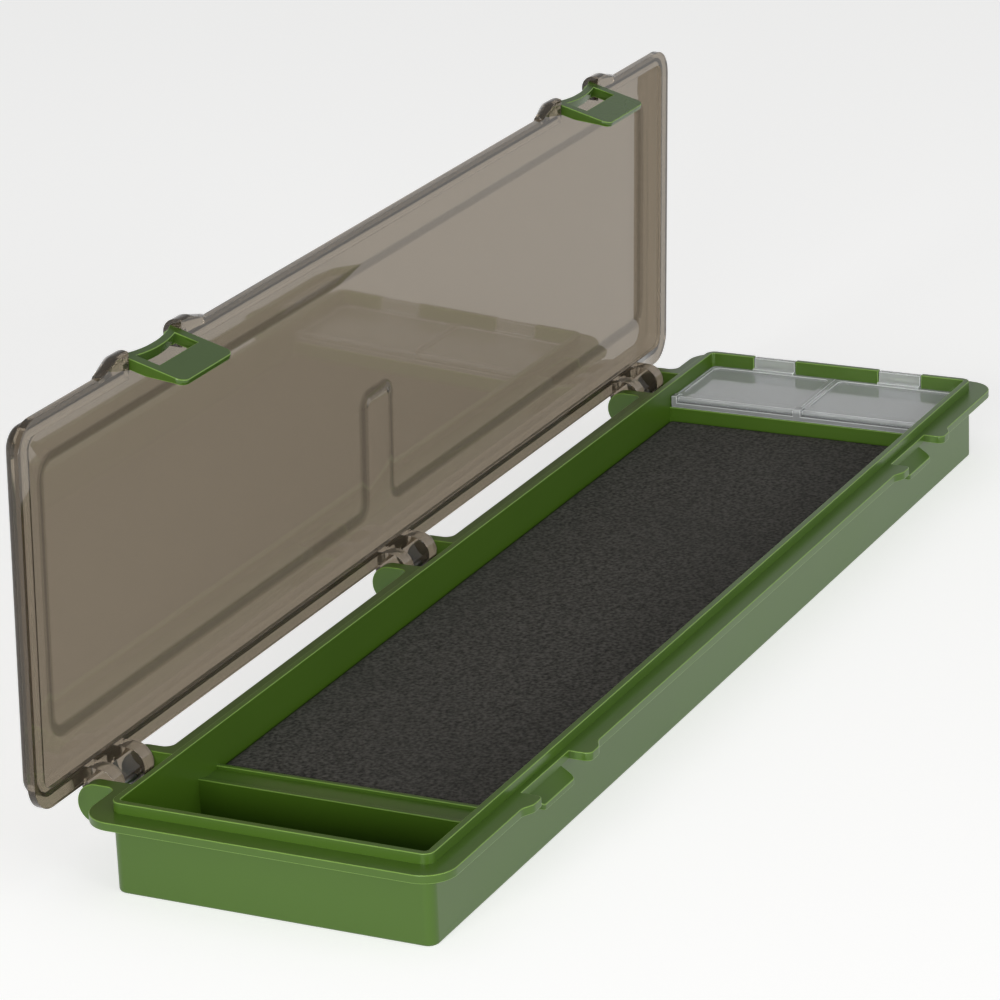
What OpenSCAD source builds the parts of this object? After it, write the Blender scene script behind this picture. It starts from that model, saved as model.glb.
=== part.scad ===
// Rig box: a long shallow tackle case with a clear hinged lid, two swinging
// latches, a foam bed for rigs and a small clear bit tray at one end.
// X runs along the box, the latches face -Y, the hinges are at +Y and Z is up.
// The origin is the middle of the base's underside. The lid is drawn standing open.

/* [Base] */
// Length of the inside at the rim
inner_len = 356; // [320:1:400]
// Depth of the inside at the rim, front to back
inner_dep = 81; // [72:1:100]
// Height of the base to the top of its rim
base_h = 23.5; // [22:0.5:34]
// Thickness of the side walls
wall = 1.8; // [1.4:0.1:2.4]
// Thickness of the floor
floor_t = 1.8; // [1.4:0.1:2.6]
// Radius of the upright inside corners
corner_r = 1; // [0.6:0.2:6]
// Rounding of the edge that the base stands on
foot_r = 0.8; // [0.4:0.2:2]

/* [Flange] */
// How far the flange stands out from the walls
flange_w = 5.7; // [5:0.1:8]
// Thickness of the flange
flange_t = 2.2; // [1.6:0.1:3]
// Height of the rim above the flange
rim_h = 2.7; // [2:0.1:3.2]
// Radius of the flange's corners
flange_r = 8; // [5:0.5:12]
// Width of the flange that is left beside the rim at a catch
catch_strip = 1.6; // [1:0.1:1.8]

/* [Dividers] */
// Distance from the near end wall to the near divider
near_room = 36.7; // [20:0.5:60]
// Width of the near divider's flat top
ledge_w = 10.4; // [7:0.2:16]
// Drop of the near divider's top below the rim
ledge_drop = 9.9; // [8:0.1:14]
// Width of the two ridges along that top
ridge_w = 1.4; // [1:0.1:2.4]
// Depth of the groove between the ridges
groove_dep = 0.9; // [0.4:0.1:1.4]
// Thickness of the dividers
divider_t = 1.6; // [1.2:0.1:2.4]
// Distance from the far end wall to the far divider's near face
far_room = 32.8; // [28:0.2:50]
// Drop of the far divider's top below the rim
far_divider_drop = 6.9; // [5.5:0.1:9]

/* [Foam] */
// Thickness of the foam pad
foam_t = 11; // [5:0.5:12]
// Clearance round the foam pad
foam_gap = 0.3; // [0.1:0.1:1]
// Radius of the foam pad's corners
foam_r = 2; // [0.5:0.5:4]

/* [Hinges] */
// Distance from the flange's end to the middle of the hinge nearest it
hinge_inset = 31.5; // [24:0.5:50]
// How far the hinge axis lies outside the flange
hinge_out = 5.8; // [5.2:0.1:7]
// Radius of the lugs round the hinge axis
lug_r = 5.2; // [4.6:0.1:6]
// Width of one lug
lug_w = 3.6; // [2.6:0.1:5]
// Width of one lid arm
arm_w = 4.6; // [3:0.1:6]
// Gap between the two arms of a hinge
arm_gap = 9.2; // [4:0.1:12]
// Gap between a lug and the arm beside it
lug_gap = 0.3; // [0.2:0.1:1]
// Radius of the fillet between a lug's outer side and the flange
web_r = 2.5; // [1:0.5:3.5]
// Diameter of the hinge pins
pin_d = 2; // [1.6:0.1:2.6]
// Running clearance of an arm's bore round its pin, on the radius
pin_play = 0.08; // [0.03:0.01:0.1]
// Angle that the lid stands open
open_angle = 88; // [80:1:92]

/* [Lid] */
// How far the lid's ends stop short of the flange's
lid_end_inset = 0.2; // [0:0.1:1.5]
// How far the lid's front edge stops short of the flange's
lid_front_inset = 1.2; // [0.8:0.1:2]
// How far the lid's back edge stands out beyond the flange
lid_back_out = 3.1; // [2.6:0.1:4]
// Gap between the closed lid's lip and the flange
lid_gap = 0.3; // [0.2:0.1:0.8]
// Thickness of the lid's lip
lip_t = 2; // [1.4:0.1:2.4]
// Height of the closed lid's panel above its lip's underside
lid_rise = 3.9; // [3.6:0.1:6]
// Thickness of the lid's panel
panel_t = 1.8; // [1.4:0.1:2.4]
// Thickness of the lid's skirt
skirt_t = 2.2; // [1.6:0.1:2.6]
// Clearance between the lid's skirt and the rim, at the ends
skirt_end_gap = 0.8; // [0.5:0.1:1.5]
// Clearance between the lid's skirt and the rim, at the front
skirt_front_gap = 0.5; // [0.4:0.1:0.8]
// Clearance between the lid's skirt and the rim, at the hinges
skirt_back_gap = 3.8; // [3:0.1:4.2]
// Radius of the lip's corners
lip_r = 8; // [5:0.5:12]
// Rounding of the lid's upper edge
lid_edge_r = 2; // [1:0.1:2.4]

/* [Lid panel] */
// Height of the panel's raised field
field_h = 0.6; // [0.3:0.1:1]
// Width of the slope round the field
field_slope = 2.8; // [1:0.2:4]
// Distance from the skirt's inside to the foot of that slope, at the near end
field_near = 10; // [6:0.2:16]
// Distance from the skirt's inside to the foot of the slope, at the far end
field_far = 4.6; // [3:0.2:14]
// Distance from the skirt's inside to the foot of the slope, at the front
field_front = 8.8; // [4:0.2:14]
// Distance from the skirt's inside to the foot of the slope, at the hinges
field_back = 7.5; // [4:0.1:12]
// Radius of the field's corners, at the foot of the slope
field_r = 6.5; // [4.5:0.5:10]
// Width of the field's notch at the middle hinge
notch_w = 13; // [8:0.5:30]
// Distance of the notch's middle from the middle hinge, towards the far end
notch_x = 1; // [-3:0.5:3]
// Depth of the field's notch
notch_dep = 33.2; // [20:0.2:50]
// Radius of the two corners at the notch's inner end
notch_r = 1.8; // [1.4:0.2:4]
// Radius of the two corners at the notch's mouth
mouth_r = 5; // [4.2:0.2:8]

/* [Catches] */
// Distance from the flange's end to the middle of the latch and catch nearest it
catch_inset = 63.5; // [55:0.5:90]
// Width of the gap in the flange at a catch
catch_gap_w = 26.6; // [26.2:0.2:32]
// Width of the catch's tongue
tongue_w = 18; // [12:0.2:18.6]
// How far the tongue stands out from the wall
tongue_out = 5.3; // [4.6:0.1:5.6]
// Drop of the tongue's top from the flange's underside to its tip
tongue_drop = 2.5; // [2.2:0.1:2.7]
// Thickness of the tongue
tongue_t = 1.5; // [1:0.1:1.6]
// Radius of the tongue's outer corners
tongue_r = 1.4; // [0.6:0.2:4]
// Length of the flange's rounded ears beside a catch
catch_ear_len = 9; // [6:0.5:14]
// How far those ears stand out beyond the flange
catch_ear_out = 1.7; // [0.8:0.1:2.5]
// Length of their straight edge, next to the rounded corner
catch_ear_flat = 2.6; // [1:0.2:5]

/* [Latches] */
// Width of a latch
latch_w = 24.6; // [22:0.2:25.4]
// Length of a latch from its pivot to its thumb edge
latch_len = 16.4; // [14:0.1:17]
// Thickness of a latch's plate
latch_t = 1.5; // [1.2:0.1:1.8]
// Depth of a latch's side arms
latch_arm_t = 2.8; // [2:0.1:3.2]
// Radius of the latch's pivot bar
latch_bar_r = 1.9; // [1.6:0.1:2.1]
// Distance from the pivot to the edge that hooks under the tongue
hook_at = 7.6; // [7.4:0.1:8.4]
// Clearance between a latch's window and the tongue, each side
window_gap = 0.3; // [0.2:0.1:0.8]
// Radius of the thumb edge's corners
thumb_r = 2.6; // [1:0.2:6]
// How far the pivot bar bows towards the thumb edge
bar_bow = 2.1; // [1:0.1:2.4]
// Distance of the latch's pivot inside the lid's front edge
pivot_in = 0.6; // [0.2:0.1:1]
// Height of the latch's pivot above the closed lip's underside
pivot_up = 1.5; // [1.3:0.1:1.8]
// Lean of a hanging latch towards the base
latch_lean = 14; // [10:1:15]
// Radius of the ears that hold a latch
ear_r = 3.7; // [3:0.1:4]
// Width of the straight part of an ear
ear_w = 4.4; // [2.6:0.1:6]
// Length of an ear's tapered end
ear_taper = 9.4; // [4:0.2:14]
// Diameter of the studs that a latch turns on
stud_d = 2.2; // [1.6:0.1:2.6]
// Length of those studs
stud_len = 2.2; // [1.6:0.1:2.8]
// Running clearance round the studs, on the radius
stud_play = 0.05; // [0.03:0.01:0.1]
// Gap between a latch and the ears beside it
latch_gap = 0.3; // [0.2:0.1:0.8]

/* [Bit tray] */
// Thickness of the tray's walls
tray_wall = 1.2; // [0.8:0.1:1.6]
// Thickness of the tray's floor
tray_floor = 1.2; // [0.8:0.1:2]
// Clearance between the tray and the base's walls
tray_gap = 0.4; // [0.2:0.1:1]
// How much rounder the tray's upright corners are than the base's
tray_soft = 1; // [0.8:0.1:3]
// Height of the tray's edge below the top of the rim
tray_drop = 5.5; // [4.6:0.1:6]
// Thickness of the tray's lids
bit_lid_t = 1.5; // [1.2:0.1:2]
// Gap between the two tray lids, and between a lid and a post
bit_lid_gap = 0.3; // [0.2:0.1:0.8]
// Gap between a tray lid and the tray's edge
bit_lid_seat = 0.1; // [0.05:0.05:0.3]
// Depth of the recess in the top of a tray lid
bit_recess = 0.4; // [0.2:0.1:0.6]
// Width of the border round that recess
bit_border = 3.2; // [2:0.2:6]
// Width of the lift tabs that stand in the far wall's notches
tab_w = 13; // [8:0.5:18]
// Height of a lift tab's underside above its lid's underside
tab_step = 0.9; // [0.8:0.1:1]
// Thickness of a lift tab where it joins its lid
tab_t = 1.3; // [1:0.1:1.6]
// Clearance of a lift tab in its notch
tab_gap = 0.3; // [0.2:0.1:0.8]
// Diameter of the studs that a tray lid turns on
bit_stud_d = 1; // [0.8:0.1:1.2]
// Length of those studs
bit_stud_len = 0.9; // [0.6:0.1:1.2]
// Thickness of the posts at the tray's corners
post_t = 1.6; // [1.4:0.1:2.4]
// Thickness of the post between the two tray lids
mid_post_t = 2.4; // [2.2:0.1:3.2]

/* [Hidden] */

$fn = 96;
hull_fn = 32;
ear_steps = 8;
corner_steps = 6;
cut = 1;
green = [0.33, 0.46, 0.20];
smoke = [0.55, 0.52, 0.48, 0.6];
steel = [0.55, 0.57, 0.62];
foam_grey = [0.20, 0.20, 0.19];
clear = [0.82, 0.86, 0.86, 0.6];

out_len = inner_len + 2 * wall;
out_dep = inner_dep + 2 * wall;
out_r = corner_r + wall;
flange_len = out_len + 2 * flange_w;
flange_dep = out_dep + 2 * flange_w;
flange_top = base_h - rim_h;
ledge_top = base_h - ledge_drop;
far_divider_top = base_h - far_divider_drop;

hinge_pitch = flange_len / 2 - hinge_inset;
catch_x = flange_len / 2 - catch_inset;
axis_y = flange_dep / 2 + hinge_out;
axis_z = flange_top - lug_r;
arm_out = arm_gap / 2 + arm_w;
lug_in = arm_out + lug_gap;
lug_out = lug_in + lug_w;
pin_wall = 1.2;
pin_len = lug_out + lug_out - pin_wall;
hinge_slot = 1.7;
knuckle_r = 3.3;
arm_round = 4.7;
arm_round_up = 1.5;

lip_z = flange_top + lid_gap;
lid_front = -flange_dep / 2 + lid_front_inset;
lid_back = flange_dep / 2 + lid_back_out;
lid_len = flange_len - 2 * lid_end_inset;
skirt_half = out_len / 2 + skirt_end_gap;
skirt_front = -out_dep / 2 - skirt_front_gap;
skirt_back = out_dep / 2 + skirt_back_gap;
skirt_r = out_r + skirt_front_gap;
panel_z = lip_z + lid_rise;
lid_top = panel_z + panel_t;
arm_y = lid_back;
field_sink = field_h / 4;

latch_y = lid_front + pivot_in;
latch_z = lip_z + pivot_up;
lid_cut_w = latch_w + 2 * latch_gap;
ear_tip_r = 1;
bar_t = 2.1;
bar_r = (pow(latch_w / 2, 2) + bar_bow * bar_bow) / (2 * bar_bow);
window_w = tongue_w + 2 * window_gap;
rim_side_t = 1.2;

near_x = -inner_len / 2 + near_room;
far_x = inner_len / 2 - far_room;
foam_x0 = near_x + ledge_w + foam_gap;
foam_x1 = far_x - foam_gap;

tray_top = base_h - tray_drop;
tray_x0 = far_x + divider_t + tray_gap;
tray_x1 = inner_len / 2 - tray_gap;
tray_half = inner_dep / 2 - tray_gap;
tray_r = corner_r + tray_soft;
tray_lip_x = far_x + tray_gap;
bit_axis_x = tray_lip_x + post_t;
bit_lid_z = tray_top + bit_lid_seat;
bit_axis_z = bit_lid_z + bit_lid_t / 2;
bit_lid_w = tray_half - bit_lid_gap / 2;
bit_lid_y = bit_lid_gap / 2 + bit_lid_w / 2;
nose_in = mid_post_t / 2 + bit_lid_gap;
nose_out = tray_half - post_t - bit_lid_gap;
stud_reach = bit_lid_gap + bit_stud_len;
nose_r = 0.93 * bit_lid_t / 2;
tab_z = bit_lid_z + tab_step;
tab_h = base_h - tab_z - tab_gap;
bit_bore_r = bit_stud_d / 2 + stud_play;
post_top = bit_axis_z + bit_bore_r + tray_wall / 2;

// A rounded rectangle about the origin
module plan(len, dep, r) {
    square([len - 2 * r, dep], center = true);
    square([len, dep - 2 * r], center = true);
    for (sx = [-1, 1], sy = [-1, 1])
        translate([sx * (len / 2 - r), sy * (dep / 2 - r)])
            circle(r = r);
}

// A rounded rectangle between two corners
module plan_between(x0, x1, y0, y1, r) {
    translate([(x0 + x1) / 2, (y0 + y1) / 2])
        plan(x1 - x0, y1 - y0, r);
}

// A slab with one rounded edge all round: the lower one, or the upper one when turned over
module soft_slab(x0, x1, y0, y1, r, edge, h) {
    profile = concat([[0, 0]], [for (a = [-90:22.5:0]) [r - edge + edge * cos(a), edge + edge * sin(a)]],
                     [[r, h], [0, h]]);
    hull()
        for (x = [x0 + r, x1 - r], y = [y0 + r, y1 - r])
            translate([x, y])
                rotate_extrude($fn = hull_fn)
                    polygon(profile);
}

// A profile in Y and Z, made w wide along X
module across(w) {
    rotate([90, 0, 90])
        linear_extrude(w, center = true)
            children();
}

// A round bar along X
module bar(w, r) {
    rotate([0, 90, 0])
        cylinder(h = w, r = r, center = true);
}

// Turns what is drawn on the closed lid to where it stands open
module on_lid() {
    translate([0, axis_y, axis_z])
        rotate([-open_angle, 0, 0])
            translate([0, -axis_y, -axis_z])
                children();
}

// Copies at the three hinges and at the two catches
module at_hinges() {
    for (k = [-1:1])
        translate([k * hinge_pitch, 0, 0])
            children();
}

module at_catches() {
    for (s = [-1, 1])
        translate([s * catch_x, 0, 0])
            children();
}

module base_shell() {
    difference() {
        union() {
            soft_slab(-out_len / 2, out_len / 2, -out_dep / 2, out_dep / 2, out_r, foot_r, base_h);
            translate([0, 0, flange_top - flange_t])
                linear_extrude(flange_t)
                    flange_plan();
        }
        translate([0, 0, floor_t])
            linear_extrude(base_h)
                plan(inner_len, inner_dep, corner_r);
    }
}

// The flange from above: gaps at the catches with a rounded ear each side, slots at the hinges
module flange_plan() {
    strip_y = out_dep / 2 + catch_strip;
    edge_y = flange_dep / 2;
    difference() {
        union() {
            plan(flange_len, flange_dep, flange_r);
            for (s = [-1, 1], t = [-1, 1])
                translate([s * catch_x + t * catch_gap_w / 2, -edge_y])
                    mirror([t > 0 ? 0 : 1, 0])
                        catch_ear();
            for (k = [-1:1], s = [-1, 1])
                translate([k * hinge_pitch + s * lug_out, edge_y])
                    web(s);
        }
        for (s = [-1, 1])
            translate([s * catch_x, -edge_y])
                square([catch_gap_w, 2 * (edge_y - strip_y)], center = true);
        for (k = [-1:1])
            translate([k * hinge_pitch - lug_in, out_dep / 2 + hinge_slot])
                square([2 * lug_in, flange_w]);
    }
}

// The fillet between the flange's edge and a lug's outer side
module web(s) {
    difference() {
        translate([s > 0 ? -lug_w / 2 : -web_r, -web_r])
            square([lug_w / 2 + web_r, 2 * web_r]);
        translate([s * web_r, web_r])
            circle(r = web_r);
    }
}

// An ear from its rounded corner at the gap to where it runs back into the flange's edge
module catch_ear() {
    bend_x = catch_ear_out + catch_ear_flat;
    bend_len = catch_ear_len - bend_x;
    bend = [for (i = [0:ear_steps])
            [bend_x + bend_len * i / ear_steps, -catch_ear_out * (1 + cos(180 * i / ear_steps)) / 2]];
    translate([catch_ear_out, 0])
        circle(r = catch_ear_out);
    polygon(concat([[catch_ear_out, catch_ear_out], [catch_ear_out, -catch_ear_out]], bend,
                   [[catch_ear_len, catch_ear_out]]));
}

// A lug from the wall to the hinge axis
module lug() {
    root_y = out_dep / 2 - wall / 2;
    translate([0, axis_y, axis_z])
        bar(lug_w, lug_r);
    across(lug_w)
        translate([root_y, axis_z - lug_r])
            square([axis_y - root_y, 2 * lug_r]);
}

module tongue() {
    root_y = -out_dep / 2 + wall / 2;
    strip_y = -out_dep / 2 - catch_strip;
    tip_y = -out_dep / 2 - tongue_out;
    root_z = flange_top - flange_t;
    tip_z = root_z - tongue_drop;
    intersection() {
        across(tongue_w)
            polygon([[root_y, root_z + flange_t / 2], [strip_y, root_z + flange_t / 2], [strip_y, root_z],
                     [tip_y, tip_z], [tip_y, tip_z - tongue_t], [root_y, root_z - tongue_t]]);
        linear_extrude(base_h)
            plan_between(-tongue_w / 2, tongue_w / 2, tip_y, tip_y + 2 * tongue_out + wall, tongue_r);
    }
}

module base() {
    color(green)
        difference() {
            union() {
                base_shell();
                at_hinges()
                    for (s = [-1, 1])
                        translate([s * (lug_in + lug_w / 2), 0, 0])
                            lug();
                at_catches()
                    tongue();
                near_divider();
                far_divider();
            }
            at_hinges()
                translate([-lug_out + pin_wall, axis_y, axis_z])
                    rotate([0, 90, 0])
                        cylinder(h = pin_len + cut, r = pin_d / 2);
            near_divider_groove();
            near_divider_core();
            wall_notches();
        }
}

module near_divider() {
    translate([near_x, -inner_dep / 2 - wall / 2, floor_t / 2])
        cube([ledge_w, inner_dep + wall, ledge_top - floor_t / 2]);
}

module near_divider_groove() {
    translate([near_x + ridge_w, -inner_dep / 2, ledge_top - groove_dep])
        cube([ledge_w - 2 * ridge_w, inner_dep, groove_dep + cut]);
}

// The near divider is cored out from below
module near_divider_core() {
    translate([near_x + divider_t, -inner_dep / 2 + divider_t, -cut])
        cube([ledge_w - 2 * divider_t, inner_dep - 2 * divider_t,
              ledge_top - groove_dep - divider_t + cut]);
}

module far_divider() {
    translate([far_x, -inner_dep / 2 - wall / 2, floor_t / 2])
        cube([divider_t, inner_dep + wall, far_divider_top - floor_t / 2]);
}

module wall_notches() {
    for (s = [-1, 1])
        translate([inner_len / 2 - cut, s * bit_lid_y - tab_w / 2 - tab_gap, tab_z - tab_gap])
            cube([cut + wall + tab_gap, tab_w + 2 * tab_gap, base_h]);
}

module hinge_pin(k) {
    color(steel)
        translate([k * hinge_pitch - lug_out + pin_wall, axis_y, axis_z])
            rotate([0, 90, 0])
                cylinder(h = pin_len, r = pin_d / 2);
}

module foam_pad() {
    color(foam_grey)
        translate([0, 0, floor_t])
            linear_extrude(foam_t)
                plan_between(foam_x0, foam_x1, -inner_dep / 2 + foam_gap, inner_dep / 2 - foam_gap, foam_r);
}

// Points along an arc
function arc(x, y, r, from, to) =
    [for (i = [0:corner_steps])
        let (a = from + (to - from) * i / corner_steps)
        [x + r * cos(a), y + r * sin(a)]];

// The outline of the panel's field with its notch, drawn in by inset from the foot of its slope
function field_loop(inset) =
    let (x0 = -skirt_half + field_near + inset,
         x1 = skirt_half - field_far - inset,
         y0 = skirt_front + field_front + inset,
         y1 = skirt_back - field_back - inset,
         n0 = notch_x - notch_w / 2 - inset,
         n1 = notch_x + notch_w / 2 + inset,
         yn = skirt_back - field_back - notch_dep - inset,
         rc = field_r - inset,
         rm = mouth_r - inset,
         rn = notch_r + inset)
    concat(arc(x0 + rc, y0 + rc, rc, 180, 270),
           arc(x1 - rc, y0 + rc, rc, 270, 360),
           arc(x1 - rc, y1 - rc, rc, 0, 90),
           arc(n1 + rm, y1 - rm, rm, 90, 180),
           arc(n1 - rn, yn + rn, rn, 0, -90),
           arc(n0 + rn, yn + rn, rn, -90, -180),
           arc(n0 - rm, y1 - rm, rm, 0, 90),
           arc(x0 + rc, y1 - rc, rc, 90, 180));

// The solid between one outline and another with as many points above it
module sloped(lower, upper, z0, z1) {
    n = len(lower);
    points = concat([for (p = lower) [p[0], p[1], z0]], [for (p = upper) [p[0], p[1], z1]]);
    sides = [for (i = [0:n - 1]) [i, n + i, n + (i + 1) % n, (i + 1) % n]];
    polyhedron(points, concat([[for (i = [0:n - 1]) i], [for (i = [n - 1:-1:0]) n + i]], sides));
}

// The raised field, whose foot lies on the face at height z
module field(z) {
    sloped(field_loop(-field_slope * field_sink / field_h), field_loop(field_slope),
           z - field_sink, z + field_h);
}

// One arm of a lid hinge: it hangs from the lip's back edge and turns on the pin
module arm() {
    translate([0, axis_y, axis_z])
        bar(arm_w, knuckle_r);
    translate([0, arm_y, axis_z + arm_round_up])
        bar(arm_w, arm_round);
    across(arm_w)
        translate([arm_y - arm_round, axis_z + arm_round_up])
            square([arm_round, lip_z + lip_t / 2 - axis_z - arm_round_up]);
}

// The two ears that hold a latch, with a straight part and a tapered end
module latch_ears() {
    for (s = [-1, 1])
        intersection() {
            translate([s * lid_cut_w / 2, latch_y, latch_z])
                rotate([0, s * 90, 0])
                    union() {
                        cylinder(h = ear_w, r = ear_r);
                        translate([0, 0, ear_w])
                            cylinder(h = ear_taper, r1 = ear_r, r2 = ear_tip_r);
                    }
            translate([-lid_cut_w, latch_y - 2 * ear_r, lip_z])
                cube([2 * lid_cut_w, 3 * ear_r, lid_top - lip_z]);
        }
}

module lid_body() {
    translate([0, 0, lip_z])
        linear_extrude(lip_t)
            plan_between(-lid_len / 2, lid_len / 2, lid_front, lid_back, lip_r);
    translate([0, 0, lid_top])
        mirror([0, 0, 1])
            soft_slab(-skirt_half - skirt_t, skirt_half + skirt_t, skirt_front - skirt_t,
                      skirt_back + skirt_t, skirt_r + skirt_t, lid_edge_r, lid_top - lip_z - lip_t / 2);
    field(lid_top);
    at_hinges()
        for (s = [-1, 1])
            translate([s * (arm_gap + arm_w) / 2, 0, 0])
                arm();
    at_catches()
        latch_ears();
}

module lid() {
    color(smoke)
        on_lid()
            difference() {
                lid_body();
                translate([0, 0, lip_z - cut])
                    linear_extrude(lid_rise + cut)
                        plan_between(-skirt_half, skirt_half, skirt_front, skirt_back, skirt_r);
                field(panel_z);
                at_hinges()
                    translate([0, axis_y, axis_z])
                        bar(2 * lug_in, pin_d / 2 + pin_play);
                at_catches() {
                    translate([-lid_cut_w / 2, lid_front - ear_r, lip_z - cut])
                        cube([lid_cut_w, skirt_front - lid_front + ear_r + cut, latch_z + latch_bar_r
                              + latch_gap - lip_z + cut]);
                    translate([0, latch_y, latch_z])
                        bar(lid_cut_w + 2 * (stud_len + latch_gap), stud_d / 2 + stud_play);
                }
            }
}

// A latch hanging straight down from its pivot at the origin, with its outer face at -Y
module latch_body() {
    face_y = -latch_bar_r;
    back_y = face_y + latch_arm_t;
    plate_y = face_y + latch_t;
    side_w = (latch_w - window_w) / 2;
    for (s = [-1, 1]) {
        translate([s * (latch_w - side_w) / 2, 0, 0]) {
            bar(side_w, latch_bar_r);
            across(side_w)
                polygon([[face_y, 0], [face_y, -hook_at - latch_t], [plate_y, -hook_at - latch_t],
                         [back_y, -hook_at + latch_t], [back_y, -latch_bar_r / 2], [0, 0]]);
        }
        translate([s * (latch_w - rim_side_t) / 2, 0, 0])
            across(rim_side_t)
                polygon([[face_y, -hook_at + latch_t], [face_y, -latch_len + thumb_r],
                         [plate_y, -latch_len + thumb_r], [back_y, -hook_at + latch_t]]);
    }
    intersection() {
        translate([0, 0, bar_r - bar_bow + latch_bar_r])
            rotate([90, 0, 0])
                difference() {
                    cylinder(h = 3 * latch_bar_r, r = bar_r + bar_t, center = true);
                    cylinder(h = 4 * latch_bar_r, r = bar_r, center = true);
                }
        translate([-latch_w / 2, face_y, -2 * bar_t])
            cube([latch_w, latch_arm_t, 2 * bar_t + latch_bar_r]);
    }
    translate([0, plate_y, 0])
        rotate([90, 0, 0])
            linear_extrude(latch_t)
                thumb_plan();
    bar(latch_w + 2 * stud_len, stud_d / 2);
}

module thumb_plan() {
    half = latch_w / 2;
    translate([-half, -latch_len + thumb_r])
        square([latch_w, latch_len - hook_at - thumb_r]);
    translate([-half + thumb_r, -latch_len])
        square([latch_w - 2 * thumb_r, thumb_r + cut]);
    for (s = [-1, 1])
        translate([s * (half - thumb_r), -latch_len + thumb_r])
            circle(r = thumb_r);
}

module latch(s) {
    color(green)
        on_lid()
            translate([s * catch_x, latch_y, latch_z])
                rotate([latch_lean, 0, 0])
                    latch_body();
}

// The tray: two wells, a front lip that sits on the far divider, and posts for the lids' studs
module bit_tray() {
    color(clear)
        difference() {
            union() {
                translate([0, 0, floor_t])
                    linear_extrude(tray_top - floor_t)
                        plan_between(tray_x0, tray_x1, -tray_half, tray_half, tray_r);
                translate([tray_lip_x, -tray_half, far_divider_top])
                    cube([tray_x0 - tray_lip_x + tray_wall, 2 * tray_half, tray_top - far_divider_top]);
                translate([tray_lip_x, 0, far_divider_top])
                    tray_posts(post_top - far_divider_top);
            }
            for (s = [-1, 1])
                translate([0, 0, floor_t + tray_floor])
                    linear_extrude(base_h)
                        tray_well(s);
            translate([bit_axis_x, 0, bit_axis_z])
                rotate([90, 0, 0])
                    cylinder(h = 2 * nose_in, r = bit_bore_r, center = true);
            for (s = [-1, 1])
                translate([bit_axis_x, s * (nose_out + stud_reach / 2), bit_axis_z])
                    rotate([90, 0, 0])
                        cylinder(h = stud_reach, r = bit_bore_r, center = true);
        }
}

module tray_well(s) {
    y0 = tray_wall / 2;
    y1 = tray_half - tray_wall;
    plan_between(tray_x0 + tray_wall, tray_x1 - tray_wall, s > 0 ? y0 : -y1, s > 0 ? y1 : -y0,
                 tray_r - tray_wall);
}

module tray_posts(h) {
    for (y = [-tray_half, tray_half - post_t])
        translate([0, y, 0])
            cube([2 * post_t, post_t, h]);
    translate([0, -mid_post_t / 2, 0])
        cube([2 * post_t, mid_post_t, h]);
}

// A tray lid from above, with the tray's own rounded corner
module bit_lid_plan(x0, y0) {
    intersection() {
        translate([x0, y0])
            square([tray_x1 - x0, bit_lid_w]);
        plan_between(x0 - 2 * tray_r, tray_x1, -tray_half, tray_half, tray_r);
    }
}

// A tray lid: it turns on two studs at its front edge, and has a lift tab in the far wall's notch
module bit_lid(s) {
    wide_x = tray_lip_x + 2 * post_t + 2 * bit_lid_gap;
    y0 = bit_lid_gap / 2;
    color(clear)
        mirror([0, s > 0 ? 0 : 1, 0]) {
            difference() {
                union() {
                    translate([0, 0, bit_lid_z])
                        linear_extrude(bit_lid_t)
                            bit_lid_plan(wide_x, y0);
                    translate([bit_axis_x, nose_in, bit_lid_z])
                        cube([wide_x - bit_axis_x + tray_wall, nose_out - nose_in, bit_lid_t]);
                    translate([tray_x1 - tray_wall, bit_lid_y - tab_w / 2, tab_z])
                        cube([inner_len / 2 + wall - tray_x1 + tray_wall, tab_w, tab_t]);
                    translate([inner_len / 2, bit_lid_y - tab_w / 2, tab_z])
                        cube([wall, tab_w, tab_h]);
                }
                translate([0, 0, bit_lid_z + bit_lid_t - bit_recess])
                    linear_extrude(base_h)
                        plan_between(wide_x + bit_border / 2, tray_x1 - bit_border / 2, y0 + bit_border / 2,
                                     y0 + bit_lid_w - bit_border / 2, bit_border / 2);
            }
            translate([bit_axis_x, nose_in, bit_axis_z])
                rotate([-90, 0, 0])
                    cylinder(h = nose_out - nose_in, r = nose_r);
            translate([bit_axis_x, nose_in - stud_reach, bit_axis_z])
                rotate([-90, 0, 0])
                    cylinder(h = nose_out - nose_in + 2 * stud_reach, r = bit_stud_d / 2);
        }
}

module bit_lid_back() { bit_lid(1); }
module bit_lid_front() { bit_lid(-1); }
module hinge_pin_near() { hinge_pin(-1); }
module hinge_pin_middle() { hinge_pin(0); }
module hinge_pin_far() { hinge_pin(1); }
module latch_near() { latch(-1); }
module latch_far() { latch(1); }

base();
lid();
hinge_pin_near();
hinge_pin_middle();
hinge_pin_far();
latch_near();
latch_far();
foam_pad();
bit_tray();
bit_lid_back();
bit_lid_front();
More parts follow.
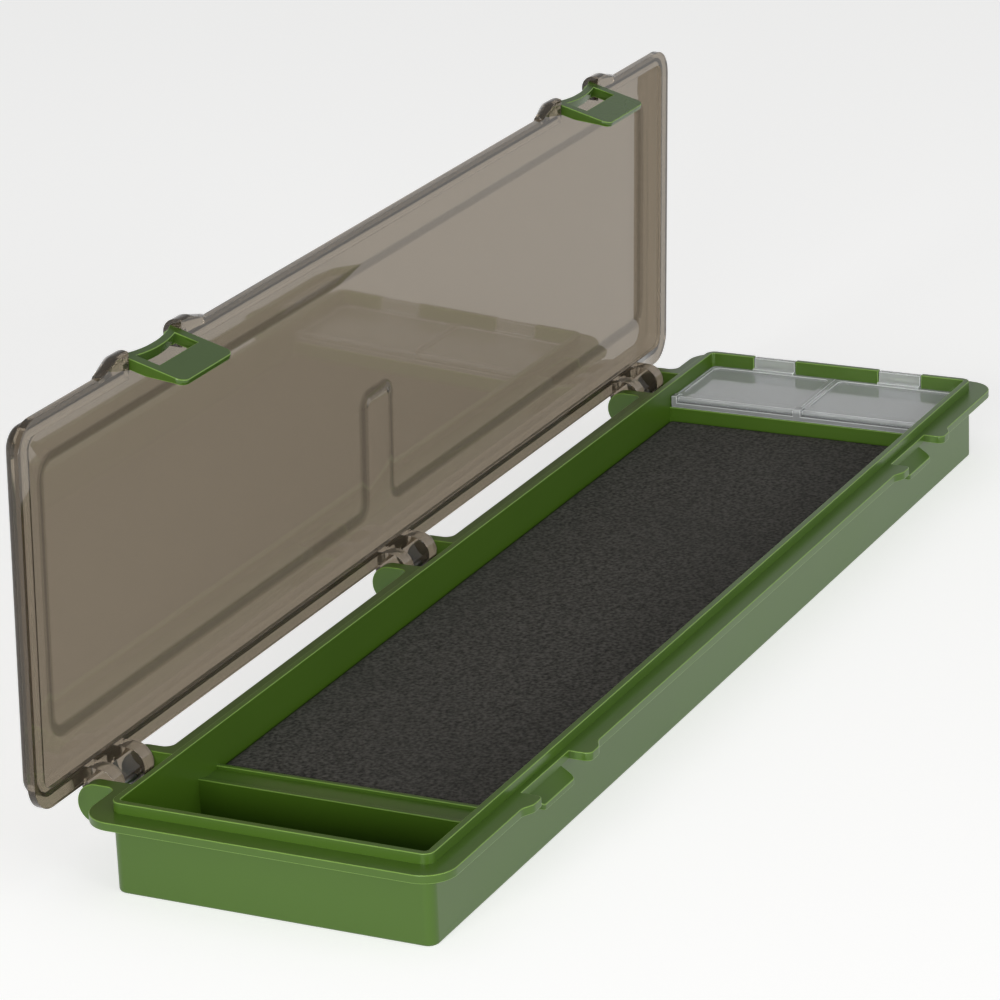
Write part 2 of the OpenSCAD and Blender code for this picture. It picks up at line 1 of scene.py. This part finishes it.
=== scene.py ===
# Rig box, dressed for rendering. Sizes are in metres and the frame is the CAD model's own:
# X along the box, latches towards -Y, hinges towards +Y, Z up from the base's underside.
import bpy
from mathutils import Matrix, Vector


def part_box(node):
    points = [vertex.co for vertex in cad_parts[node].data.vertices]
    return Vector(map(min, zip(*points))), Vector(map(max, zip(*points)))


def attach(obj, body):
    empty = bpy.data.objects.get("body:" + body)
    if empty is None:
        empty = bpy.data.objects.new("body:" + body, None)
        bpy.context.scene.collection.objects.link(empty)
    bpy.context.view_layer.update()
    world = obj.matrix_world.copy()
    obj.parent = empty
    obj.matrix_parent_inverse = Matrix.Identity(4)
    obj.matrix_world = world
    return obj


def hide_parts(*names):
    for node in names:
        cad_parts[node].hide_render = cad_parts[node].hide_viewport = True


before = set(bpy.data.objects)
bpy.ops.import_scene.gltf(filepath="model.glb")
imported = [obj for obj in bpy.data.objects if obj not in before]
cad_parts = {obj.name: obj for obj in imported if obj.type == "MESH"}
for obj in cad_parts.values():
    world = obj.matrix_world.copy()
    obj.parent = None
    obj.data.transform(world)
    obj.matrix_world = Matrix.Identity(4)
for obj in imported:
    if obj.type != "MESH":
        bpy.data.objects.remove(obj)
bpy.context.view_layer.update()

import math
import bmesh
import bpy
from mathutils import Matrix, Vector

mm = 0.001
scene = bpy.context.scene


# Colours, nodes and objects

def linear(hexCode):
    parts = [int(hexCode[i:i + 2], 16) / 255 for i in (1, 3, 5)]
    return tuple(c / 12.92 if c < 0.04045 else ((c + 0.055) / 1.055) ** 2.4 for c in parts) + (1.0,)


def addNode(tree, kind, values=None, links=None, **settings):
    node = tree.nodes.new(kind)
    for name, value in settings.items():
        setattr(node, name, value)
    for socket, value in (values or {}).items():
        node.inputs[socket].default_value = value
    for socket, source in (links or {}).items():
        tree.links.new(source, node.inputs[socket])
    return node


# Each input of a sum is a float or the socket that gives it
def addSum(tree, operation, *inputs, kind="ShaderNodeMath"):
    values = {i: given for i, given in enumerate(inputs) if isinstance(given, float)}
    links = {i: given for i, given in enumerate(inputs) if not isinstance(given, float)}
    return addNode(tree, kind, values, links, operation=operation).outputs[0]


def addNoise(tree, place, sizeMm, detail):
    return addNode(tree, "ShaderNodeTexNoise", {"Scale": 1 / (sizeMm * mm), "Detail": detail},
                   {"Vector": place.outputs["Object"]}).outputs["Fac"]


def mixColours(tree, values, links):
    return addNode(tree, "ShaderNodeMix", {name: linear(code) for name, code in values.items()},
                   links, data_type="RGBA").outputs["Result"]


def newMaterial(name):
    material = bpy.data.materials.new(name)
    material.use_nodes = True
    material.node_tree.nodes.clear()
    return material, material.node_tree


def finishMaterial(tree, shader, volume=None):
    out = addNode(tree, "ShaderNodeOutputMaterial", links={"Surface": shader.outputs[0]})
    if volume:
        tree.links.new(volume.outputs[0], out.inputs["Volume"])


def addObject(name, data):
    thing = bpy.data.objects.new(name, data)
    scene.collection.objects.link(thing)
    return thing


def evaluatedMesh(thing):
    graph = bpy.context.evaluated_depsgraph_get()
    return bpy.data.meshes.new_from_object(thing.evaluated_get(graph))


# Base and latches: polypropylene, injection moulded in a lightly sparked steel tool. It gives a
# satin skin with a soft, broad sheen and very slight flow marks. Rounded edges get a painted
# highlight, a lighter green.
polypropyleneIor = 1.49
mouldedSkin = {"flowDetail": 3.0, "sparkDetail": 2.0, "sparkDepthMm": 0.02,
               "smoother": 0.03, "rougher": 0.04}
# The edge colour is a painted highlight for the rounded edges
baseLook = {"deep": "#446515", "light": "#4D6F1A", "edge": "#7DA344", "flowMm": 60,
            "sparkMm": 0.5, "roughness": 0.34, "shine": 0.6, "bump": 0.25}
latchLook = {"deep": "#3F5E14", "light": "#466619", "edge": "#7BA040", "flowMm": 20,
             "sparkMm": 0.4, "roughness": 0.26, "shine": 0.6, "bump": 0.12}


def mouldedPolypropylene(name, look):
    material, tree = newMaterial(name)
    place = addNode(tree, "ShaderNodeTexCoord")
    flow = addNoise(tree, place, look["flowMm"], mouldedSkin["flowDetail"])
    spark = addNoise(tree, place, look["sparkMm"], mouldedSkin["sparkDetail"])
    body = mixColours(tree, {"A": look["deep"], "B": look["light"]}, {"Factor": flow})
    highlightMask = addNode(tree, "ShaderNodeAttribute", attribute_name="paintedEdgeHighlight")
    # Painted highlight: the marked rounded edges take the lighter edge green
    colour = mixColours(tree, {"B": look["edge"]}, {"Factor": highlightMask.outputs["Fac"], "A": body})
    rough = addNode(tree, "ShaderNodeMapRange",
                    {"To Min": look["roughness"] - mouldedSkin["smoother"],
                     "To Max": look["roughness"] + mouldedSkin["rougher"]}, {"Value": flow})
    bump = addNode(tree, "ShaderNodeBump",
                   {"Strength": look["bump"], "Distance": mouldedSkin["sparkDepthMm"] * mm},
                   {"Height": spark})
    shader = addNode(tree, "ShaderNodeBsdfPrincipled",
                     {"IOR": polypropyleneIor, "Specular IOR Level": look["shine"]},
                     {"Base Color": colour, "Roughness": rough.outputs["Result"],
                      "Normal": bump.outputs["Normal"]})
    finishMaterial(tree, shader)
    return material


# Lid: smoke-tinted polystyrene, moulded clear against a polished tool. The tint darkens what lies
# behind it, a faint haze keeps thick corners from going black, and the sloped border of the raised
# field gets painted shade: a darker colour for the dark lines that its edges show in the light.
lidLook = {"tint": "#988C7B", "borderPaintedShade": "#776D5F", "roughness": 0.035, "clear": 0.87,
           "ior": 1.5, "shine": 0.35, "rippleMm": 30, "rippleDetail": 1.0, "rippleDepthMm": 0.05,
           "ripple": 0.05, "depthTint": "#B4A898", "depth": 15}


def smokePolystyrene(look):
    material, tree = newMaterial("smokePolystyrene")
    place = addNode(tree, "ShaderNodeTexCoord")
    ripple = addNoise(tree, place, look["rippleMm"], look["rippleDetail"])
    bump = addNode(tree, "ShaderNodeBump",
                   {"Strength": look["ripple"], "Distance": look["rippleDepthMm"] * mm},
                   {"Height": ripple})
    border = addNode(tree, "ShaderNodeAttribute", attribute_name="fieldBorder")
    # Painted shade: the marked border faces take the darker colour
    colour = mixColours(tree, {"A": look["tint"], "B": look["borderPaintedShade"]},
                        {"Factor": border.outputs["Fac"]})
    shader = addNode(tree, "ShaderNodeBsdfPrincipled",
                     {"Roughness": look["roughness"], "IOR": look["ior"],
                      "Specular IOR Level": look["shine"], "Transmission Weight": look["clear"]},
                     {"Base Color": colour, "Normal": bump.outputs["Normal"]})
    depth = addNode(tree, "ShaderNodeVolumeAbsorption",
                    {"Color": linear(look["depthTint"]), "Density": look["depth"]})
    finishMaterial(tree, shader, depth)
    return material


# Bit tray and its lids: clear polypropylene, which stays a little milky; its edges are drawn milkier
# still, a painted highlight
trayLook = {"tint": "#F2F5F5", "roughness": 0.09, "clear": 0.7, "edgeClear": 0.15}


def clearPolypropylene(look):
    material, tree = newMaterial("clearPolypropylene")
    highlightMask = addNode(tree, "ShaderNodeAttribute", attribute_name="paintedEdgeHighlight")
    # Less clear on the marked edges: a painted highlight on top of the plastic's own slight milkiness
    milkyAndEdgeHighlight = addNode(tree, "ShaderNodeMapRange", {"To Min": look["clear"], "To Max": look["edgeClear"]},
                   {"Value": highlightMask.outputs["Fac"]})
    shader = addNode(tree, "ShaderNodeBsdfPrincipled",
                     {"Base Color": linear(look["tint"]), "Roughness": look["roughness"],
                      "IOR": polypropyleneIor}, {"Transmission Weight": milkyAndEdgeHighlight.outputs["Result"]})
    finishMaterial(tree, shader)
    return material


# Hinge pins: drawn stainless wire, with fine lines along the wire
pinLook = {"colour": "#B4B8BE", "lineStretch": (40.0, 2500.0, 2500.0), "lineScale": 2.0,
           "lineDetail": 2.0, "smooth": 0.22, "rough": 0.42}


def drawnWire(look):
    material, tree = newMaterial("drawnStainlessWire")
    place = addNode(tree, "ShaderNodeTexCoord")
    along = addNode(tree, "ShaderNodeMapping", {"Scale": look["lineStretch"]},
                    {"Vector": place.outputs["Object"]})
    lines = addNode(tree, "ShaderNodeTexNoise",
                    {"Scale": look["lineScale"], "Detail": look["lineDetail"]},
                    {"Vector": along.outputs[0]})
    rough = addNode(tree, "ShaderNodeMapRange", {"To Min": look["smooth"], "To Max": look["rough"]},
                    {"Value": lines.outputs["Fac"]})
    shader = addNode(tree, "ShaderNodeBsdfPrincipled",
                     {"Base Color": linear(look["colour"]), "Metallic": 1.0},
                     {"Roughness": rough.outputs["Result"]})
    finishMaterial(tree, shader)
    return material


# Foam: closed-cell EVA sheet, split to thickness, so its face shows cut cells as a fine speckle
foamLook = {"deep": "#1F1E1C", "light": "#6A6863", "cloud": "#42413E", "cellMm": 0.5,
            "cellDepthMm": 0.1, "fleckMm": 1.0, "fleckDetail": 2.0, "fleckRange": (0.3, 0.7),
            "cloudMm": 40, "cloudDetail": 4.0, "cloudShare": 0.6, "bump": 0.7,
            "roughness": 0.85, "ior": 1.45, "shine": 0.3}


def splitEvaFoam(look):
    material, tree = newMaterial("splitEvaFoam")
    place = addNode(tree, "ShaderNodeTexCoord")
    cells = addNode(tree, "ShaderNodeTexVoronoi", {"Scale": 1 / (look["cellMm"] * mm)},
                    {"Vector": place.outputs["Object"]})
    cloud = addNoise(tree, place, look["cloudMm"], look["cloudDetail"])
    fleck = addNoise(tree, place, look["fleckMm"], look["fleckDetail"])
    low, high = look["fleckRange"]
    spread = addNode(tree, "ShaderNodeMapRange", {"From Min": low, "From Max": high},
                     {"Value": fleck})
    speckle = mixColours(tree, {"A": look["deep"], "B": look["light"]},
                         {"Factor": spread.outputs["Result"]})
    thin = addNode(tree, "ShaderNodeMapRange", {"To Max": look["cloudShare"]}, {"Value": cloud})
    colour = mixColours(tree, {"B": look["cloud"]},
                        {"Factor": thin.outputs["Result"], "A": speckle})
    bump = addNode(tree, "ShaderNodeBump",
                   {"Strength": look["bump"], "Distance": look["cellDepthMm"] * mm},
                   {"Height": cells.outputs["Distance"]})
    shader = addNode(tree, "ShaderNodeBsdfPrincipled",
                     {"Roughness": look["roughness"], "IOR": look["ior"],
                      "Specular IOR Level": look["shine"]},
                     {"Base Color": colour, "Normal": bump.outputs["Normal"]})
    finishMaterial(tree, shader)
    return material


greenBase = mouldedPolypropylene("satinMouldedPolypropylene", baseLook)
greenLatch = mouldedPolypropylene("polishedMouldedPolypropylene", latchLook)
smoke = smokePolystyrene(lidLook)
clear = clearPolypropylene(trayLook)
wire = drawnWire(pinLook)
foam = splitEvaFoam(foamLook)
print("materials ready")

# The lid's mesh holds both sides of its raised field folded over themselves at the bay. Such a face
# is found at an edge whose two faces lie back to back, and is filled anew from its outline.
foldTest = {"backToBackCosine": -0.999, "levelCosine": 0.99999, "levelMm": 0.003}


def isFold(edge):
    faces = edge.link_faces
    return len(faces) == 2 and faces[0].normal.dot(faces[1].normal) < foldTest["backToBackCosine"]


def fillFoldedFaces(build):
    for fold in [edge for edge in build.edges if isFold(edge)]:
        if not fold.is_valid:
            continue
        start = max(fold.link_faces, key=lambda face: face.calc_area())
        across, point = start.normal.copy(), start.verts[0].co.copy()

        def isLevel(face):
            if abs(face.normal.dot(across)) <= foldTest["levelCosine"]:
                return False
            heights = [abs((vert.co - point).dot(across)) for vert in face.verts]
            return max(heights) < foldTest["levelMm"] * mm

        patch, toSearch = {start}, [start]
        while toSearch:
            for side in toSearch.pop().edges:
                for face in side.link_faces:
                    if face not in patch and isLevel(face):
                        patch.add(face)
                        toSearch.append(face)
        bmesh.ops.dissolve_faces(build, faces=list(patch))
        print("flat face filled anew from", len(patch), "pieces")


# The lid's material paints shade on the sloped border of the raised field, so its faces are marked
fieldBorder = {"fromDegrees": 3, "toDegrees": 25, "reachMm": 5, "depthMm": 3}


def markFieldBorder(mesh):
    mark = mesh.attributes.new("fieldBorder", "FLOAT", "FACE")
    field = max(mesh.polygons, key=lambda face: face.area)
    reach = fieldBorder["reachMm"] * mm
    spans = {}
    for axis in (0, 2):
        along = [mesh.vertices[i].co[axis] for i in field.vertices]
        spans[axis] = (min(along) - reach, max(along) + reach)
    for face, value in zip(mesh.polygons, mark.data):
        tilt = math.degrees(face.normal.angle(field.normal, 0))
        tilt = min(tilt, 180 - tilt)
        sloped = fieldBorder["fromDegrees"] < tilt < fieldBorder["toDegrees"]
        away = abs((face.center - field.center).dot(field.normal))
        near = away < fieldBorder["depthMm"] * mm
        inside = all(low < face.center[axis] < high for axis, (low, high) in spans.items())
        value.value = 1.0 if sloped and near and inside else 0.0
    print("field border:", sum(1 for value in mark.data if value.value), "faces")


# The moulded pieces keep their CAD shape. A copy gets the small radius that every outward moulded
# edge has, and those narrow faces are marked, so that the materials can paint a highlight on them.
# Whole faces are made from the triangles where that holds the shape; the lid only joins triangles.
rounding = {"segments": 2, "fromDegrees": 40, "weldMm": 0.002, "flatDegrees": 0.6,
            "joinShapeDegrees": 60, "flatWeight": 90, "flatThreshold": 0.01}
mouldEdge = {"radiusMm": 0.2, "wholeFaces": True}
lidEdge = {"radiusMm": 0.1, "wholeFaces": False}
fineEdge = {"radiusMm": 0.12, "wholeFaces": True}


def cleanedMesh(node, wholeFaces):
    build = bmesh.new()
    build.from_mesh(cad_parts[node].data)
    weld, flat = rounding["weldMm"] * mm, math.radians(rounding["flatDegrees"])
    bmesh.ops.remove_doubles(build, verts=build.verts, dist=weld)
    fillFoldedFaces(build)
    bmesh.ops.dissolve_degenerate(build, edges=build.edges, dist=weld)
    if wholeFaces:
        bmesh.ops.dissolve_limit(build, angle_limit=flat, verts=build.verts, edges=build.edges)
    else:
        bmesh.ops.join_triangles(build, faces=build.faces, angle_face_threshold=flat,
                                 angle_shape_threshold=math.radians(rounding["joinShapeDegrees"]))
    for face in build.faces:
        face.smooth = True
    outward = build.edges.layers.float.new("bevel_weight_edge")
    for side in build.edges:
        if side.calc_face_angle(0) > math.radians(rounding["fromDegrees"]):
            side[outward] = 1.0 if side.is_convex else 0.0
            side.smooth = side.is_convex
    mesh = bpy.data.meshes.new(node + "_moulded")
    build.to_mesh(mesh)
    build.free()
    return mesh


# While the bevel is made, its faces carry the second material slot; the mark then takes its place
def softenEdges(node, body, material, edge, mark=None):
    mesh = cleanedMesh(node, edge["wholeFaces"])
    mesh.materials.append(material)
    mesh.materials.append(material)
    if mark:
        mark(mesh)
    piece = addObject(node + "_moulded", mesh)
    bevel = piece.modifiers.new("edge", "BEVEL")
    bevel.width = edge["radiusMm"] * mm
    bevel.segments = rounding["segments"]
    bevel.limit_method = "WEIGHT"
    bevel.use_clamp_overlap = False
    bevel.miter_outer = "MITER_ARC"
    bevel.material = 1
    piece.data = evaluatedMesh(piece)
    piece.modifiers.clear()
    bpy.data.meshes.remove(mesh)
    mesh = piece.data
    mesh.name = node + "_moulded"
    # Mask of the rounded edge faces, which the materials use for painted highlights
    highlightMask = mesh.attributes.new("paintedEdgeHighlight", "FLOAT", "FACE")
    for face, value in zip(mesh.polygons, highlightMask.data):
        value.value = float(face.material_index)
        face.material_index = 0
    mesh.materials.pop(index=1)
    flats = piece.modifiers.new("flats", "WEIGHTED_NORMAL")
    flats.mode = "FACE_AREA"
    flats.weight = rounding["flatWeight"]
    flats.thresh = rounding["flatThreshold"]
    flats.keep_sharp = True
    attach(piece, body)
    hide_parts(node)
    print("edges softened:", node, len(mesh.polygons))


softenEdges("base", "base", greenBase, mouldEdge)
softenEdges("lid", "lid", smoke, lidEdge, markFieldBorder)
for name in ("latch_near", "latch_far"):
    softenEdges(name, name, greenLatch, mouldEdge)
softenEdges("bit_tray", "base", clear, fineEdge)
for name in ("bit_lid_back", "bit_lid_front"):
    softenEdges(name, name, clear, fineEdge)
for name in ("hinge_pin_near", "hinge_pin_middle", "hinge_pin_far"):
    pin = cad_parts[name]
    pin.data.materials.clear()
    pin.data.materials.append(wire)

# Foam pad: a sheet cut from flat stock, its face slightly uneven and its edges a little rounded
foamPad = {"stepMm": 1.2, "edgeMm": 0.9, "unevenMm": 0.22, "swellMm": 18.0, "swellDetail": 2.0,
           "seed": 4}


def buildFoamPad():
    low, high = (Vector(corner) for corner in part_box("foam_pad"))
    size = high - low
    middle = (low + high) / 2
    tree = bpy.data.node_groups.new("foamSheet", "GeometryNodeTree")
    settings = [("Length", "Float", size.x), ("Depth", "Float", size.y),
                ("Thickness", "Float", size.z), ("Step", "Float", foamPad["stepMm"] * mm),
                ("Edge Radius", "Float", foamPad["edgeMm"] * mm),
                ("Unevenness", "Float", foamPad["unevenMm"] * mm),
                ("Swell Size", "Float", foamPad["swellMm"] * mm),
                ("Seed", "Int", foamPad["seed"]), ("Material", "Material", foam)]
    settingOf = {}
    for label, kind, value in settings:
        socket = tree.interface.new_socket(label, in_out="INPUT", socket_type="NodeSocket" + kind)
        settingOf[socket.identifier] = value
    tree.interface.new_socket("Geometry", in_out="OUTPUT", socket_type="NodeSocketGeometry")
    given = addNode(tree, "NodeGroupInput").outputs

    def count(label):
        return addSum(tree, "ADD", addSum(tree, "DIVIDE", given[label], given["Step"]), 2.0)

    def combine(x, y, z):
        return addNode(tree, "ShaderNodeCombineXYZ", links={"X": x, "Y": y, "Z": z}).outputs[0]

    def addVectorSum(operation, *inputs):
        return addSum(tree, operation, *inputs, kind="ShaderNodeVectorMath")

    def scale(vector, values=None, links=None):
        return addNode(tree, "ShaderNodeVectorMath", values, {0: vector, **(links or {})},
                       operation="SCALE").outputs[0]

    block = addNode(tree, "GeometryNodeMeshCube",
                    links={"Size": combine(given["Length"], given["Depth"], given["Thickness"]),
                           "Vertices X": count("Length"), "Vertices Y": count("Depth"),
                           "Vertices Z": count("Thickness")})
    place = addNode(tree, "GeometryNodeInputPosition").outputs[0]

    # Edges: pull every point onto a box with rounded edges
    corner = scale(combine(given["Length"], given["Depth"], given["Thickness"]), {"Scale": 0.5})
    radius = combine(given["Edge Radius"], given["Edge Radius"], given["Edge Radius"])
    inner = addVectorSum("SUBTRACT", corner, radius)
    held = addVectorSum("MINIMUM", place, inner)
    held = addVectorSum("MAXIMUM", held, scale(inner, {"Scale": -1.0}))
    outward = addVectorSum("NORMALIZE", addVectorSum("SUBTRACT", place, held))
    target = addVectorSum("ADD", held, scale(outward, links={"Scale": given["Edge Radius"]}))
    roundEdges = addNode(tree, "GeometryNodeSetPosition",
                         links={"Geometry": block.outputs["Mesh"], "Position": target})

    # Face: slow swells of the split sheet, downwards only, so the pad stays in its place
    swellScale = addSum(tree, "DIVIDE", 1.0, given["Swell Size"])
    swell = addNode(tree, "ShaderNodeTexNoise", {"Detail": foamPad["swellDetail"]},
                    noise_dimensions="4D")
    for name, source in (("Scale", swellScale), ("W", given["Seed"]), ("Vector", place)):
        tree.links.new(source, swell.inputs[name])
    drop = addSum(tree, "MULTIPLY", swell.outputs["Fac"], given["Unevenness"])
    down = addSum(tree, "MULTIPLY", drop, -1.0)
    height = addNode(tree, "ShaderNodeSeparateXYZ", links={0: place}).outputs["Z"]
    offset = addNode(tree, "ShaderNodeCombineXYZ", links={"Z": down}).outputs[0]
    uneven = addNode(tree, "GeometryNodeSetPosition",
                     links={"Geometry": roundEdges.outputs[0], "Offset": offset,
                            "Selection": addSum(tree, "GREATER_THAN", height, 0.0)})
    solid = addNode(tree, "GeometryNodeRealizeInstances", links={"Geometry": uneven.outputs[0]})
    smooth = addNode(tree, "GeometryNodeSetShadeSmooth", links={"Geometry": solid.outputs[0]})
    dressed = addNode(tree, "GeometryNodeSetMaterial",
                      links={"Geometry": smooth.outputs[0], "Material": given["Material"]})
    addNode(tree, "NodeGroupOutput", links={"Geometry": dressed.outputs[0]})

    carrier = addObject("foamCarrier", bpy.data.meshes.new("foamCarrier"))
    sheet = carrier.modifiers.new("sheet", "NODES")
    sheet.node_group = tree
    for identifier, value in settingOf.items():
        sheet[identifier] = value
    mesh = evaluatedMesh(carrier)
    bpy.data.objects.remove(carrier)
    mesh.transform(Matrix.Translation(middle))
    mesh.name = "foam_sheet"
    pad = addObject("foam_sheet", mesh)
    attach(pad, "base")
    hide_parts("foam_pad")
    print("foam pad:", len(mesh.polygons), "faces")


buildFoamPad()

# Camera: fitted to the rim, flange and lid edges of the photograph. The focal length and the
# picture's width are in its pixels.
cameraPlace = {"at": (-0.96677, -0.45647, 0.43135), "right": (0.4333628, -0.9003602, -0.0393458),
               "down": (-0.3238946, -0.1148590, -0.9390951),
               "forward": (0.8410047, 0.4197128, -0.3413974),
               "focal": 4302.2267, "width": 1000, "sensorMm": 36, "nearest": 0.01}


def placeCamera():
    lens = bpy.data.cameras.new("view")
    lens.sensor_fit = "HORIZONTAL"
    lens.sensor_width = cameraPlace["sensorMm"]
    lens.lens = cameraPlace["focal"] / cameraPlace["width"] * cameraPlace["sensorMm"]
    lens.clip_start = cameraPlace["nearest"]
    camera = addObject("view", lens)
    right, down, forward = (Vector(cameraPlace[name]) for name in ("right", "down", "forward"))
    turn = Matrix((right, -down, -forward)).transposed().to_4x4()
    camera.matrix_world = Matrix.Translation(cameraPlace["at"]) @ turn
    scene.camera = camera


placeCamera()

# Stage: a pale floor and white surroundings. The camera and what shows through clear plastic see
# them white. Reflections see the floor white, and the surroundings white near the horizon and
# dimmer above. The surroundings also light the object softly.
stageLook = {"floor": "#DADAD8", "floorGlow": 0.6, "floorSize": 8.0, "worldLight": 0.2,
             "horizon": 1.0, "horizonHeight": 0.1, "ceiling": 0.35, "ceilingHeight": 0.5}
lamps = {"topSoftbox": [(-0.2, 0.0, 1.6), (0, 0, 0), (1.6, 1.2), 1.5],
         "leftSoftbox": [(-1.7, -0.1, 0.45), (0, 0, 0.02), (1.0, 0.6), 17],
         "frontSoftbox": [(0.3, -1.6, 0.9), (0, 0, 0.02), (1.2, 0.8), 2.5],
         "frontFill": [(-0.5, -1.7, 0.5), (0, 0, 0.02), (1.2, 0.6), 9]}


def rayKinds(tree):
    path = addNode(tree, "ShaderNodeLightPath").outputs
    direct = addSum(tree, "MAXIMUM", path["Is Camera Ray"], path["Is Transmission Ray"])
    return direct, path["Is Glossy Ray"]


def buildSurroundings():
    world = bpy.data.worlds.new("surroundings")
    scene.world = world
    world.use_nodes = True
    tree = world.node_tree
    tree.nodes.clear()
    direct, glossy = rayKinds(tree)
    toward = addNode(tree, "ShaderNodeSeparateXYZ",
                     links={"Vector": addNode(tree, "ShaderNodeTexCoord").outputs["Generated"]})
    studio = addNode(tree, "ShaderNodeMapRange",
                     {"From Min": stageLook["horizonHeight"],
                      "From Max": stageLook["ceilingHeight"],
                      "To Min": stageLook["horizon"], "To Max": stageLook["ceiling"]},
                     {"Value": toward.outputs["Z"]})
    soft = addNode(tree, "ShaderNodeMix", {"A": stageLook["worldLight"]},
                   {"Factor": glossy, "B": studio.outputs["Result"]})
    strength = addNode(tree, "ShaderNodeMix", {"B": 1.0},
                       {"Factor": direct, "A": soft.outputs["Result"]})
    light = addNode(tree, "ShaderNodeBackground", {"Color": (1, 1, 1, 1)},
                    {"Strength": strength.outputs["Result"]})
    addNode(tree, "ShaderNodeOutputWorld", links={"Surface": light.outputs[0]})


def buildFloor():
    half = stageLook["floorSize"] / 2
    corners = [(-half, -half, 0), (half, -half, 0), (half, half, 0), (-half, half, 0)]
    mesh = bpy.data.meshes.new("floor")
    mesh.from_pydata(corners, [], [(0, 1, 2, 3)])
    floor = addObject("floor", mesh)
    material, tree = newMaterial("paleFloor")
    paper = addNode(tree, "ShaderNodeBsdfDiffuse", {"Color": linear(stageLook["floor"])})
    seen = addSum(tree, "MAXIMUM", *rayKinds(tree))
    glow = addSum(tree, "MULTIPLY", seen, stageLook["floorGlow"])
    white = addNode(tree, "ShaderNodeEmission", {"Color": (1, 1, 1, 1)}, {"Strength": glow})
    both = addNode(tree, "ShaderNodeAddShader", links={0: paper.outputs[0], 1: white.outputs[0]})
    finishMaterial(tree, both)
    mesh.materials.append(material)


def addLamp(name, at, target, size, watts):
    data = bpy.data.lights.new(name, "AREA")
    data.shape = "RECTANGLE"
    data.size, data.size_y = size
    data.energy = watts
    lamp = addObject(name, data)
    lamp.location = at
    lamp.rotation_euler = (Vector(target) - Vector(at)).to_track_quat("-Z", "Y").to_euler()


buildSurroundings()
buildFloor()
for name, (at, target, size, watts) in lamps.items():
    addLamp(name, at, target, size, watts)
scene.view_settings.view_transform = "Standard"
print("stage ready")
